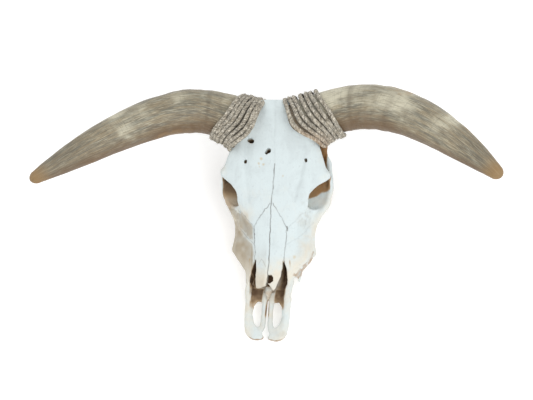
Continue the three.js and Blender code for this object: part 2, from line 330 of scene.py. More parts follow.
def faceZ(x, y):
    # height of the upper side of the face
    share = np.clip(np.abs(x / faceHalf(y)), 0, 0.999)
    return faceLevel(y) + (roofZ(y) - faceLevel(y)) * (1 - share**facePower) ** (1 / facePower)


orbit = {"middle": (118, 298, 119), "radii": (66, 33, 30)}
toothRow = {"front": 133, "back": 268, "count": 6}
browGroove = {"line": [(62, 406), (61, 362), (57, 320), (50, 286)], "radius": 11, "depth": 2.2}
noseSlot = [(28, 158), (31, 158), (36, 146), (40.5, 126), (40, 100), (36, 84), (14, 84), (20, 100), (27, 128)]
noseWallTop = through((84, 48), (100, 61), (132, 80), (164, 104))
nasalThick = 7


def faceShapes(half):
    half.join(loft(96, 284, faceHalf, flat(palateZ), faceLevel, roofZ, facePower))
    half.cut(ball((106, 292, 34), (36, 62, 36)), 9)
    half.cut(ball((98, 322, 82), (44, 50, 32)), 8)
    nose = loft(80, 238, lambda y: 38 - (y - 90) * 0.07, flat(37), flat(62), lambda y: roofZ(y) - 8, 2.5)
    half.cut(nose, 2)
    crest = [(87, 190, 63), (84, 214, 69), (85, 246, 76), (91, 267, 82)]
    half.join(limb(crest, [7, 4, 5, 8], (0.8, 1, 0.8), 9), 9)
    half.join(limb([(58, 262, 44), (56, 284, 52)], [16, 13], (1, 1, 1.15)), 10)
    half.cut(limb([(24, 100, 24), (24, 128, 26), (25, 200, 27), (24, 262, 27)], [5, 4, 8, 7], (2.2, 1, 1), 8), 6)


def foreheadShapes(half):
    under = lambda y: roofZ(y) - 33
    half.join(loft(224, 478, browHalf, under, browLevel, roofZ, browPower), 5)
    half.join(loft(250, 468, coreHalf, coreFloor, flat(118), lambda y: roofZ(y) - 7, 2.3), 8)


def backShapes(half):
    plateHalf = through((66, 60), (88, 92), (108, 102), (122, 88), (150, 62), (210, 48))
    plateY = through((66, 447), (88, 445), (108, 445), (122, 447), (150, 453), (210, 461))

    def plate(x, y, z):
        m = plateY(z)
        k = (np.abs(x / plateHalf(z)) ** 3 + np.abs((y - m) / 15) ** 3) ** np.float32(1 / 3)
        d = (1 - 1 / np.maximum(k, 0.05)) * np.sqrt(x**2 + (y - m) ** 2)
        return np.maximum(d, np.maximum(66 - z, z - 206))

    half.join(((0, 428, 66), (104, 485, 206), plate), 8)
    half.join(limb([(0, 468, 197), (40, 463, 199)], [11, 9]), 8)
    half.join(limb([(0, 470, 148), (0, 466, 180)], [7, 9], (1.2, 1, 1)), 9)
    half.join(ball((30, 459, 64), (20, 18, 28), -24), 5)
    half.join(ball((30, 446, 88), (18, 20, 14)), 6)
    half.join(ball((84, 420, 98), (18, 25, 19)), 9)
    crest = [(94, 428, 104), (84, 448, 124), (66, 456, 150), (50, 462, 180)]
    half.join(limb(crest, [8, 6, 7, 10], (1, 1, 1), 8), 10)
    half.join(limb([(56, 386, 92), (104, 384, 92)], [12, 10], (1, 1.2, 0.7)), 8)
    half.join(limb([(86, 402, 90), (92, 404, 80)], [8, 5]), 5)
    half.join(ball((45, 398, 52), (11, 17, 24), 12), 6)
    half.join(limb([(48, 388, 44), (52, 376, 28)], [6, 3]), 4)
    half.cut(ball((36, 474, 120), (30, 14, 26)), 10)


def undersideShapes(half):
    half.join(limb([(0, 296, 84), (0, 350, 76), (0, 405, 68), (0, 452, 70)], [14, 15, 20, 26], (1, 1, 0.5), 10), 6)
    half.join(limb([(14, 410, 60), (18, 396, 58)], [8, 6], (1, 1, 0.8)), 5)
    wing = [(21, 256), (28, 262), (26, 300), (25, 328), (20, 328), (20, 296)]
    half.join(panel(wing, 42, 92, 2.4), 6)
    half.join(limb([(22, 300, 56), (24, 316, 40), (27, 327, 29)], [6, 4.5, 3], (0.7, 1, 1), 6), 5)
    half.cut(limb([(0, 350, 50), (0, 300, 50), (0, 266, 54)], [18, 18, 15], (1, 1, 1.2), 6), 3)


def hollowShapes(half):
    half.cut(ball(**orbit), 3)
    half.cut(limb([(96, 304, 118), (66, 326, 114), (40, 348, 109)], [26, 17, 7], count=6), 6)
    half.cut(limb([(84, 348, 116), (82, 392, 121), (84, 426, 130)], [24, 21, 13], (0.85, 1, 1), 6), 8)
    half.cut(limb([(0, 500, 92), (0, 452, 90), (0, 405, 100)], [18, 17, 20], (1, 1, 0.95)), 5)
    lift = browGroove["radius"] - browGroove["depth"]
    course = [(x, y, browZ(x, y) + lift) for x, y in smoothPath(browGroove["line"], 10)]
    half.cut(limb(course, [browGroove["radius"]] * 2), 10)
    half.cut(ball((70, 200, 113), (12, 40, 10), 10), 14)


def addTeeth(half):
    # each tooth stands on an inner and an outer column, and each of the back three on two pairs of them
    length = (toothRow["back"] - toothRow["front"]) / toothRow["count"]
    for i in range(toothRow["count"]):
        paired = i > 2
        y, x, wide = toothRow["front"] + length * (i + 0.5), 50 + 1.9 * i, 8 + 0.8 * i
        low = -5 if paired else -3
        along = (0.46 if paired else 0.8) * length / 2 + 1
        for shift in (-0.26, 0.26) if paired else (0,):
            spot = y + shift * length
            for out, fat in ((0.42, 0.52), (-0.42, 0.56)):
                column = [(x + out * wide, spot, low), (x + out * wide * 0.8, spot, 40)]
                half.join(limb(column, [wide * fat, wide * (fat + 0.12)], (1, along / (wide * fat), 1)), 1.5)


def addedShapes(half):
    # what stands in front of the hollows: cheek arch, horn stalk, processes and teeth
    arch = [
        (87, 262, 80), (98, 277, 84), (112, 297, 86), (118.5, 325, 89), (117, 350, 92), (112, 374, 95),
        (104, 398, 97), (92, 418, 99),
    ]
    half.join(limb(arch, [10, 9, 8, 8, 7.5, 7, 7, 8], (0.62, 1, 1.15), 16), 6)
    cheekFloor = [
        (50, 256), (88, 258), (101, 274), (114, 300), (118, 330), (115, 358), (98, 364), (70, 360), (42, 344),
        (42, 290),
    ]
    low, high = lambda x, y: 74 + 0.11 * np.abs(x), lambda x, y: 86 + 0.09 * np.abs(x)
    half.join(panel(cheekFloor, low, high, 4), 7)
    half.join(limb([(117, 330, 92), (117, 340, 118), (112, 336, 147)], [7, 5.5, 8], (0.7, 1, 1), 6), 6)
    half.join(limb([(8, 424, 154), (66, 444, 169)], [42, 51], (1, 1, 0.88)), 10)
    side = [(70, 438, 88), (65, 431, 56), (61, 428, 24), (60, 429, 2)]
    half.join(limb(side, [14, 11, 8, 7.5], (0.85, 1.15, 1), 9), 6)
    addTeeth(half)
    half.join(limb([(49, 124, 36), (55, 180, 39), (60, 264, 42)], [7, 12, 13], (0.95, 1, 0.6), 8), 4)
    half.cut(panel([(25, 110), (95, 110), (95, 460), (25, 460)], -20, 0.0))


def muzzleShapes(half):
    plateEdge = [
        (6.2, 12), (11, 7.2), (20, 6.2), (31, 8.5), (40, 16), (46, 28), (48.5, 44), (46, 57), (31, 54),
        (27.5, 40), (20, 32), (13, 34), (4, 42), (3.6, 31), (8, 20),
    ]
    low, high = lambda x, y: 19 + 0.08 * y, lambda x, y: 28 + 0.10 * y
    half.join(panel(plateEdge, low, high, 3.6), 3)
    lip = [(9, 11, 21.5), (22, 9.5, 21), (33, 13, 22.5), (41, 22, 25)]
    half.join(limb(lip, [4.6, 5.6, 5.4, 4.4], (1, 1, 1), 9), 3)
    half.cut(limb([(13, 5.4, 24.8), (26, 4.6, 24.6), (36, 9.5, 26)], [1.5, 2.2, 1.5], count=7), 1.5)
    wall = [(38.5, 34, 27), (41, 60, 34), (41.5, 84, 44), (42, 112, 60)]
    half.join(limb(wall, [8, 7.6, 7, 6.5], (1, 1, 1), 9), 4)
    under = [(39, 50, 26), (42, 80, 33), (43, 112, 46)]
    half.join(limb(under, [6.5, 7, 8], (0.9, 1, 1.2), 7), 4)
    rod = [(11, 27, 26.5), (8, 42, 28.5), (7, 66, 32), (6.9, 102, 37)]
    half.join(limb(rod, [6, 5.6, 5.2, 5.4], (1, 1, 1), 9), 3)
    floor = [(0.8, 90), (13, 85), (23, 86), (30, 77), (33, 57), (46, 57), (46, 120), (0.8, 120)]
    half.join(panel(floor, 28, 38, 2.4), 4)


def noseShapes(half):
    # opens the nose beside and under the free ends of the nasal bones
    half.cut(panel(noseSlot, 41, 140), 1.5)

    def above(x, y, z):
        openRoom = np.maximum(noseWallTop(y) - z, y - 165)
        beside = np.abs(x) - nasalHalf(y) - 0.5
        under = roofZ(y) - nasalThick - 4 * (x / 30) ** 2 - z
        return np.maximum(openRoom, -np.maximum(beside, under))

    half.cut(((0, 60, 44), (70, 166, 130), above), 1.5)
    half.cut(limb([(74, 138, 50), (50, 156, 58)], [4.2, 3.2], (1, 1, 1.25)), 2.5)


# marks of age and damage that belong to one side only

# holes in the forehead: x, y, radius and depth; each widens downwards
holes = [
    (-55, 395, 2.8, 24), (-50.5, 394, 4.1, 24), (-50.5, 394, 4.1, 24), (-47, 392, 3.2, 24), (-11, 374, 4.3, 24),
    (-15.5, 370, 2.8, 24), (-61, 354, 2.0, 16), (-61, 352, 1.6, 16), (68, 360, 2.0, 16), (69, 357, 1.5, 16),
]
sockets = [(50, 138, 5), (52, 150, 6), (54, 163, 6), (57, 174, 5.5)]  # of the lost teeth: x, y and radius
# what is broken away: outline, lowest and highest z, and the rounding of the edge
breaks = [
    ([(46.5, 96), (90, 96), (90, 129), (66, 137), (60, 132), (55, 136), (46.5, 137)], 10, 62, 1.2),
    ([(1, 128), (1, 112), (8, 112), (13, 117), (12.5, 124), (8, 129)], 70, 130, 1),
    ([(-34, 60), (-34, 103), (-16, 101.5), (-9, 104), (-1, 107), (2, 107), (2, 60)], 60, 130, 1),
    ([(0, 60), (0, 112), (5, 110), (12, 103), (16, 97), (20, 102), (34, 106), (34, 60)], 60, 130, 1),
]
lostTeeth = [(36, 126), (64, 126), (68, 150), (72, 181), (44, 181), (40, 150)]


def damage(whole):
    # the small holes, the broken tooth row on the left and the ends of the nasal bones
    for x, y, radius, depth in holes:
        z = float(browZ(np.array(x), np.array(y)))
        whole.cut(limb([(x, y, z - depth), (x, y, z + 5)], [radius + 3, radius]), 0.8)
    whole.cut(panel(lostTeeth, -10, 31), 1)
    for x, y, radius in sockets:
        whole.cut(limb([(x, y, 20), (x, y, 48)], [radius + 1, radius]), 1)
    whole.cut(ball((70, 162, 30), (11, 19, 13)), 2)
    for outline, low, high, rounding in breaks:
        whole.cut(panel(outline, low, high), rounding)


def mirrored(half):
    whole = Block((-(half.values.shape[0] - 1) * grain, half.low[1], half.low[2]), (0, 0, 0))
    whole.values = np.concatenate([half.values[:0:-1], half.values])
    return whole


def roughen(whole):
    # weathering that moves the surface a little
    near = np.nonzero(np.abs(whole.values) < 4)
    x, y, z = (whole.low[k] + grain * near[k] for k in range(3))
    rise = 0.5 * bumps(x, y, z, 19, 5) + 0.28 * bumps(x, y, z, 7, 6) + 0.16 * bumps(x, y, z, 3.2, 7)
    sides = ease(np.abs(x), 40, 90) * 0.6 + ease(170 - y, 0, 60) * 0.5 + ease(120 - z, 0, 40) * 0.5
    whole.values[near] += rise * (0.5 + sides)


def wholeSkull():
    half = Block((0, -2, -6), (136, 496, 230))
    for shapes in (faceShapes, foreheadShapes, backShapes, undersideShapes,
                   hollowShapes, addedShapes, noseShapes, muzzleShapes):
        shapes(half)
        say(shapes.__name__)
    whole = mirrored(half)
    damage(whole)
    roughen(whole)
    return whole


skull = wholeSkull()
say("skull roughened")


# parting the skull into its bones along the seams

boneGap = -0.35  # the bones lock into each other by this much
outlines = {
    "nasal": [(-10, 60), (34, 60), (30, 132), (30.5, 160), (34, 200), (35, 222), (20, 246), (3, 268), (-10, 268)],
    "frontal": [(-10, 215), (35, 222), (52, 238), (76, 264), (100, 280), (150, 300), (150, 520), (-10, 520)],
    "lacrimal": [(34, 190), (44, 196), (72, 226), (84, 250), (104, 262), (104, 285), (34, 285)],
    "zygomatic": [(70, 232), (100, 226), (150, 230), (150, 352), (104, 340), (60, 300), (74, 262)],
    "orbitFloor": [(40, 258), (80, 262), (70, 300), (110, 336), (130, 353), (40, 353)],
    "temporal": [(30, 352), (150, 340), (150, 424), (70, 438), (46, 424)],
}


def sawEdge(x, y):
    # how far a seam wanders sideways
    return 1.3 * bumps(x, y, 0, 9, 21) + 0.8 * bumps(x, y, 0, 4, 22)


def rooms(x, y, z):
    # for each bone in turn, the distance outside its own room
    shiftX, shiftY = sawEdge(x, y), sawEdge(y, x)
    seamX, seamY = np.abs(x + 0.5 * shiftX), y + shiftY
    x, y = np.abs(x) + shiftX, y + shiftY
    top = roofZ(y)
    yield "nasal", np.maximum(outlineDistance(seamX, seamY, outlines["nasal"]), top - 10 - 6 * (x / 30) ** 2 - z)
    yield "frontal", np.maximum(outlineDistance(x, y, outlines["frontal"]), top - 30 - z)
    yield "lacrimal", np.maximum(outlineDistance(x, y, outlines["lacrimal"]), 94 - z)
    cheek = np.maximum(outlineDistance(x, y, outlines["zygomatic"]), np.maximum(62 - z, z - 125))
    orbitFloor = np.maximum(outlineDistance(x, y, outlines["orbitFloor"]), np.maximum(70 - z, z - 99))
    yield "zygomatic", np.minimum(cheek, orbitFloor)
    yield "premaxilla", np.maximum(y - 100, z - 75)
    yield "maxilla", np.maximum(100 - y, y - 300)
    yield "temporal", np.maximum(outlineDistance(x, y, outlines["temporal"]), np.maximum(62 - z, z - 180))
    yield "sphenoid", np.maximum(300 - y, y - 404)
    yield "occipital", np.float32(-farAway)


def largestPart(points, faces):
    label = np.arange(len(points))
    sides = np.concatenate([faces[:, [0, 1]], faces[:, [1, 2]], faces[:, [2, 3]]])
    while True:
        before = label.copy()
        lowest = np.minimum(label[sides[:, 0]], label[sides[:, 1]])
        np.minimum.at(label, sides[:, 0], lowest)
        np.minimum.at(label, sides[:, 1], lowest)
        label = label[label]
        if (label == before).all():
            break
    names, counts = np.unique(label[faces[:, 0]], return_counts=True)
    faces = faces[label[faces[:, 0]] == names[counts.argmax()]]
    used, renumbered = np.unique(faces, return_inverse=True)
    return points[used], renumbered.reshape(faces.shape)


def facingOut(points, faces):
    a, b, c, d = (points[faces[:, k]] for k in range(4))
    volume = np.einsum("ij,ij->", a, np.cross(b - a, c - a) + np.cross(c - a, d - a))
    return faces if volume > 0 else faces[:, [1, 0, 3, 2]]


def skin(values, low):
    # closed mesh of four-sided faces round what lies below 0
    padded = np.pad(values, 2, constant_values=farAway)
    grid = openvdb.FloatGrid()
    grid.background = 3.0
    grid.copyFromArray(np.clip(padded / grain, -3, 3).astype(np.float32))
    points, faces = grid.convertToQuads(isovalue=0.0)
    points, faces = largestPart(points.astype(float), faces.astype(np.int64))
    points = (points - 2) * grain + low
    return points, facingOut(points, faces)


def blurred(values, reach):
    # average over a cube of about the reach, twice over
    steps = max(1, round(reach / grain))
    for repeat in range(2):
        for axis in range(3):
            totals = np.cumsum(values, axis=axis, dtype=np.float32)
            totals = np.concatenate([np.zeros_like(totals.take([0], axis)), totals], axis)
            count = values.shape[axis]
            above = np.minimum(np.arange(count) + steps + 1, count)
            below = np.maximum(np.arange(count) - steps, 0)
            values = (totals.take(above, axis) - totals.take(below, axis)) / (2 * steps + 1)
    return values


def sampled(values, low, points):
    place = (points - low) / grain
    first = np.clip(np.floor(place).astype(int), 0, np.array(values.shape) - 2)
    share = np.clip(place - first, 0, 1)
    total = 0
    for i in (0, 1):
        for j in (0, 1):
            for k in (0, 1):
                weight = np.prod(np.where([i, j, k], share, 1 - share), axis=1)
                total = total + weight * values[first[:, 0] + i, first[:, 1] + j, first[:, 2] + k]
    return total


solidShare = np.clip(0.5 - skull.values / grain, 0, 1)
nearShare = blurred(solidShare, 3.0)
wideShare = blurred(solidShare, 11.0)
say("hollows measured")


browSeam = [(35, 222), (52, 238), (76, 264)]
cheekSeam = [(34, 190), (44, 196), (72, 226), (84, 250)]
# drawn seams and cracks, and faint lines of painted shade along the forehead's grooves and midline ridge: line in x and
# y, side (0 both, 1 left, -1 right, 2 as drawn), darkness and width
seamsAndShadeLines = [
    ([(0, 100), (0, 268)], 0, 0.95, 0.7),
    ([(0, 268), (0.5, 285), (2.5, 300), (1.4, 312), (3, 324), (2.4, 335), (3.5, 348)], 2, 0.95, 0.7),
    ([(35, 222), (20, 246), (3, 268)], 0, 0.75, 0.6),
    ([(30.5, 150), (31.5, 178), (34, 200), (35, 222)], 0, 0.85, 0.7),
    (browSeam, 1, 0.12, 0.6),
    (cheekSeam, 1, 0.12, 0.6),
    (browSeam, -1, 0.45, 0.6),
    (cheekSeam, -1, 0.4, 0.6),
    ([(70, 232), (74, 262), (96, 282)], 0, 0.2, 0.6),
    ([(-22, 148), (-16, 158), (-12, 154), (-6, 143)], 2, 0.5, 0.5),
    ([(35, 225), (37.5, 218)], 1, 1.1, 0.9),
    # the four faint wide lines from here are painted shade along the brow grooves and the midline ridge of the forehead
    ([(-61, 349), (-58, 322), (-51, 292), (-47, 270)], 2, 0.10, 2.6),
    ([(67, 355), (62, 325), (55, 300), (50, 276)], 2, 0.08, 2.6),
    ([(-1, 470), (2, 430), (1, 390), (3.5, 348)], 2, 0.09, 1.6),
    ([(-62, 362), (-64, 384)], 2, 0.08, 1.8),
]
# yellow stains: x, y and radius
stains = [(-26, 357, 5), (-31, 348, 4), (-21, 346, 3.5), (22, 324, 3.5), (-29, 341, 2.5), (46, 150, 6), (52, 168, 5)]


def shadeAndSoilAt(x, y, z):
    # painted shade where light and air don't reach, with some brown soil: inside the nose, in the orbits and behind
    # them
    side = np.abs(x)
    nose = ease(roofZ(y) - 11 - z, 0, 8) * fade(side, 37.5, 40.5) * within(y, 82, 104, 180, 200) * ease(z, 34, 44)
    nose = nose * np.maximum(ease(y, 98, 112), 0.62 * ease(side, 10, 14))
    nose = nose * np.where(x < 0, 1 - 0.3 * fade(y, 105, 125), 1)
    walls = ease(noseWallTop(y) - 2 - z, 0, 3) * fade(side, 43, 45) * within(y, 111, 117, 157, 165)
    nose = np.maximum(nose, 0.9 * walls * ease(side, 36, 40) * ease(z, 38, 44))
    palate = within(side, 11, 15, 36.5, 39.5) * ease(y - 0.9 * np.maximum(30 - side, 0), 62, 74) * fade(y, 110, 116)
    palate = palate * within(z, 24, 30, 46, 54) * (0.48 + 0.36 * ease(y, 68, 102) + 0.12 * bumps(x, y, z, 7, 38))
    betweenRods = 0.8 * fade(side, 3.5, 5.5) * within(y, 46, 60, 98, 108) * within(z, 22, 26, 35, 41)
    orbits = within(side, 56, 72, 117, 120) * within(y, 262, 280, 346, 356) * ease(browZ(x, y) - 6 - z, 0, 8)
    edge = y - 0.47 * (x - 81) + 5 * bumps(x, y, z, 12, 35)
    orbits = orbits * ease(z, 62, 72) * np.where(x < 0, 0.48 + 0.32 * ease(y, 290, 318), 0.66 * ease(edge, 300, 311))
    behind = 0.9 * within(side, 52, 66, 104, 108) * within(y, 344, 352, 420, 432) * within(z, 66, 84, 146, 158)
    return np.maximum.reduce([nose, palate, betweenRods, orbits, behind])


def crackAndShadeAt(x, y, z, shiftX, shiftY):
    # seams wander with the bones' edges; cracks drawn for one side don't
    crackAndShade = np.zeros(len(x))
    for line, side, dark, width in seamsAndShadeLines:
        if side == 2:
            across = lineDistance(x, y, line)
        elif line[0][0] == 0 and line[-1][0] == 0:
            across = lineDistance(np.abs(x + 0.5 * shiftX), y, line)
        else:
            across = lineDistance(np.abs(x) + shiftX, y + shiftY, line) + 1e3 * (x * side < 0)
        crackAndShade = np.maximum(crackAndShade, dark * fade(across, width * 0.4, width * 1.9))
    under = z - np.where(y < 300, faceZ(x, y), browZ(x, y))
    return crackAndShade * ease(under, -14, -8) * (0.7 + 0.45 * bumps(x, y, z, 12, 34))


def stainAt(x, y, z):
    stain = np.zeros(len(x))
    for spotX, spotY, size in stains:
        across = np.hypot(x - spotX, y - spotY) + 1.2 * bumps(x, y, z, 3, 31)
        stain = np.maximum(stain, fade(across, 0, size))
    return stain * ease(z, 90, 100)


def toneAt(x, y, z):
    # how cream the bleached bone is: to the right, at the muzzle and down the sides
    right = 0.4 * ease(-x, 20, 80) * fade(y, 240, 300)
    muzzle = 0.3 * fade(y, 135, 185) * ease(z, 60, 80) * (1 - 0.4 * ease(x, -30, 60)) + 0.3 * fade(y, 100, 150)
    low = (0.15 * fade(z, 70, 110) + 0.22 * fade(z, 80, 110)) * ease(y, 100, 140)
    sides = 0.25 * ease(np.abs(x), 80, 112) + low
    return np.clip(0.2 + right + muzzle + sides - 0.2 * ease(y, 270, 330), 0, 1)


def filmAndShadeAt(x, y, z, shiftX, shiftY):
    # grey-brown film, heaviest on the right cheek, where it is also painted shade on the side of the face turned away
    # from the key light
    side, back = np.abs(x) + 2 * shiftX, y + 2 * shiftY
    cheekEdge = [(30, 60), (30, 150), *outlines["lacrimal"][:4], (104, 262), (150, 290), (150, 60)]
    cheek = ease(-outlineDistance(side, back, cheekEdge), -2, 7)
    corner = ease(-outlineDistance(side, back, outlines["lacrimal"]), -1, 5) * ease(-x, 30, 40)
    corner = corner * ease(outlineDistance(side, back, outlines["frontal"]), -1, 4)
    filmAndShade = (0.6 + 0.12 * bumps(x, y, z, 10, 40)) * cheek * ease(-x, 30, 40) * ease(y, 110, 160) + 0.58 * corner
    filmAndShade = (filmAndShade + 0.3 * ease(-x, 78, 92) * ease(y, 262, 275)) * fade(y, 276, 306)
    rest = 0.24 * ease(-x, 42, 56) * ease(y, 120, 160) * (1 - np.maximum(cheek, corner))
    filmAndShade = filmAndShade + (0.1 * ease(-x, 0, 6) + rest) * fade(y, 242, 262) * ease(z, 70, 90)
    filmAndShade = filmAndShade + 0.24 * within(-x, 2, 8, 38, 41) * fade(y, 165, 205) * ease(z, 50, 60)
    filmAndShade = filmAndShade + 0.17 * ease(x, 46, 60) * fade(y, 242, 262)
    filmAndShade = filmAndShade + 0.17 * fade(y, 90, 135) * (0.8 + 0.5 * bumps(x, y, z, 9, 39))
    leftCorner = ease(x, 52, 62) * within(y, 226, 244, 290, 306) * ease(z, 96, 104)
    return filmAndShade + 0.3 * leftCorner * (0.5 + 0.5 * bumps(x, y, z, 5, 37))


def rustAndShadowAt(x, y, z, shadeAndSoil):
    # red-brown: in the left orbit and on the broken edge, and a painted shadow line along the lip of the muzzle
    orbit = ease(x, 60, 70) * within(y, 296, 310, 420, 430) * within(z, 60, 72, 130, 150) * ease(shadeAndSoil, 0.3, 0.6)
    # a painted shadow line along the lower front edge of the muzzle's lip
    lip = fade(y, 14, 20) * within(z, 16, 19, 23.5, 26.5)
    edge = [(44, 139), (55, 138), (59, 145), (77, 167), (84, 180), (86, 190)]
    broken = fade(lineDistance(x, y, edge) + 3 * bumps(x, y, z, 5, 36), 0.8, 3.4)
    rustAndShadow = np.maximum(orbit + lip, 0.9 * broken * fade(z, 68, 76) * (x > 0))
    return rustAndShadow * (0.75 + 0.35 * bumps(x, y, z, 6, 33))


def boneLooks(points):
    # how much painted shade and brown soil lies in the hollows, painted shade in the crevices, and how worn, cracked,
    # stained, yellowed and weathered the bone is at each point; the film, the crack lines and the rust carry some
    # painted shade too
    near = sampled(nearShare, skull.low, points)
    wide = sampled(wideShare, skull.low, points)
    x, y, z = points.T
    shifts = sawEdge(x, y), sawEdge(y, x)
    # where the painted shade and soil are lessened: the lower part of the left orbit and the left cheek
    lessShadeOrbit = ease(x, 56, 66) * within(y, 250, 262, 295, 305) * ease(z, 66, 74)
    lessShadeCheek = within(x, 48, 56, 88, 94) * within(y, 196, 208, 256, 264) * ease(z, 84, 92)
    lessShadeAndSoil = np.maximum(lessShadeOrbit, lessShadeCheek)
    # painted shade in recesses, from how much bone lies round each point, joined with the painted shade and soil of the
    # nose, orbits and palate
    shadeAndSoil = np.maximum(ease(wide, 0.5, 0.95) * (1 - 0.85 * lessShadeAndSoil), shadeAndSoilAt(x, y, z))
    return {
        "shadeAndSoil": shadeAndSoil, "creviceShade": ease(near, 0.56, 0.8) * (1 - 0.7 * lessShadeAndSoil), "worn": ease(-near, -0.4, -0.2),
        "crackAndShade": crackAndShadeAt(x, y, z, *shifts), "stain": stainAt(x, y, z), "tone": toneAt(x, y, z),
        "filmAndShade": filmAndShadeAt(x, y, z, *shifts), "rustAndShadow": rustAndShadowAt(x, y, z, shadeAndSoil),
    }


def drift(points):
    # the muzzle and the cheek arches lean a little to the right-hand side of the skull
    leaned = points.copy()
    x, y, z = points.T
    leaned[:, 0] -= 5.5 * ease(150 - y, 0, 60) + 3 * ease(np.abs(x), 92, 108) * ease(y, 292, 312) * ease(130 - z, 0, 20)
    return leaned


def smoothSeams(mesh, points):
    # shades both sides of a seam as the one surface they were parted from
    step = 0.8 * grain
    near = np.abs(sampled(skull.values, skull.low, points)) < 0.4
    depthAt = lambda shift: sampled(skull.values, skull.low, points[near] + shift)
    slope = np.stack([depthAt(step * axis) - depthAt(-step * axis) for axis in np.eye(3)], 1)
    normals = np.empty(3 * len(points), np.float32)
    mesh.vertex_normals.foreach_get("vector", normals)
    normals = normals.reshape(-1, 3)
    normals[near] = slope / np.maximum(np.linalg.norm(slope, axis=1), 1e-6)[:, None]
    mesh.normals_split_custom_set_from_vertices(normals)


def meshPiece(name, points, faces, looks, material):
    # faces have four corners; one with a doubled last corner is a triangle
    mesh = bpy.data.meshes.new(name)
    mesh.vertices.add(len(points))
    mesh.vertices.foreach_set("co", toFrame(points).astype(np.float32).ravel())
    pointed = faces[:, 2] == faces[:, 3]
    corners = np.concatenate([faces[~pointed].ravel(), faces[pointed, :3].ravel()]).astype(np.int32)
    wholeFaces = np.count_nonzero(~pointed)
    starts = np.concatenate([4 * np.arange(wholeFaces), 4 * wholeFaces + 3 * np.arange(np.count_nonzero(pointed))])
    mesh.loops.add(len(corners))
    mesh.loops.foreach_set("vertex_index", corners)
    mesh.polygons.add(len(starts))
    mesh.polygons.foreach_set("loop_start", starts.astype(np.int32))
    mesh.polygons.foreach_set("use_smooth", np.ones(len(starts), bool))
    mesh.update(calc_edges=True)
    for label, values in looks.items():
        vector = np.ndim(values) == 2
        layer = mesh.attributes.new(label, "FLOAT_VECTOR" if vector else "FLOAT", "POINT")
        layer.data.foreach_set("vector" if vector else "value", np.asarray(values, np.float32).ravel())
    mesh.materials.append(material)
    return newObject(name, mesh)


# finishes

class Finish:
    # a material whose colour is built up in layers
    def __init__(self, name, colours, base):
        self.material = bpy.data.materials.new(name)
        self.material.use_nodes = True
        self.tree = self.material.node_tree
        self.tree.nodes.clear()
        self.shader = self.add("BsdfPrincipled")
        self.feed(self.add("OutputMaterial").inputs["Surface"], self.shader.outputs["BSDF"])
        self.colours = colours
        self.colour = colours[base]
        self.normal = None

    def add(self, kind):
        return self.tree.nodes.new("ShaderNode" + kind)

    def feed(self, socket, value):
        if isinstance(value, bpy.types.NodeSocket):
            self.tree.links.new(value, socket)
        else:
            socket.default_value = value

    def attribute(self, name, output="Fac"):
        node = self.add("Attribute")
        node.attribute_name = name
        return node.outputs[output]

    def place(self, stretch=(1, 1, 1), source=None):
        # the point in the frame, or an attribute, with its axes stretched
        if source is None:
            source = self.add("TexCoord").outputs["Object"]
        node = self.add("Mapping")
        self.feedAll(node, Vector=source, Scale=stretch)
        return node.outputs["Vector"]

    def feedAll(self, node, **values):
        for name, value in values.items():
            self.feed(node.inputs[name.replace("_", " ")], value)

    def noise(self, vector, scale, detail, rough, twist=0.0):
        node = self.add("TexNoise")
        self.feedAll(node, Vector=vector, Scale=scale, Detail=detail, Roughness=rough, Distortion=twist)
        return node.outputs["Fac"]

    def spread(self, value, low, high, newLow=0.0, newHigh=1.0):
        node = self.add("MapRange")
        node.interpolation_type = "SMOOTHSTEP"
        self.feedAll(node, Value=value, From_Min=low, From_Max=high, To_Min=newLow, To_Max=newHigh)
        return node.outputs["Result"]

    def combine(self, kind, a, b):
        node = self.add("Math")
        node.operation = kind
        self.feed(node.inputs[0], a)
        self.feed(node.inputs[1], b)
        return node.outputs[0]

    def uneven(self, value, pattern, amount):
        return self.combine("ADD", value, self.combine("MULTIPLY", self.combine("SUBTRACT", pattern, 0.5), amount))

    def lay(self, name, share, amount=1):
        # lays a colour over what is there, by a share times an amount
        node = self.add("Mix")
        node.data_type = "RGBA"
        self.feed(node.inputs[0], self.combine("MULTIPLY", share, amount))
        for socket, value in ((node.inputs[6], self.colour), (node.inputs[7], self.colours[name])):
            self.feed(socket, (*value, 1) if isinstance(value, tuple) else value)
        self.colour = node.outputs[2]

    def bump(self, height, strength, distance):
        node = self.add("Bump")
        self.feedAll(node, Strength=strength, Distance=distance, Height=height)
        if self.normal is not None:
            self.feed(node.inputs["Normal"], self.normal)
        self.normal = node.outputs["Normal"]

    def done(self, roughness, specular, sheen=0.0):
        self.feed(self.shader.inputs["Base Color"], self.colour)
        self.feed(self.shader.inputs["Roughness"], roughness)
        self.shader.inputs["Specular IOR Level"].default_value = specular
        self.shader.inputs["Sheen Weight"].default_value = sheen
        if self.normal is not None:
            self.feed(self.shader.inputs["Normal"], self.normal)
        return self.material


boneColours = {
    "bleached": (0.68, 0.76, 0.77), "cream": (0.76, 0.71, 0.60), "tan": (0.46, 0.33, 0.20),
    "brown": (0.10, 0.055, 0.028), "grey": (0.47, 0.51, 0.52), "crackAndShade": (0.10, 0.085, 0.075),
    "stain": (0.60, 0.47, 0.27), "filmAndShade": (0.36, 0.295, 0.205), "rustAndShadow": (0.33, 0.17, 0.06),
}


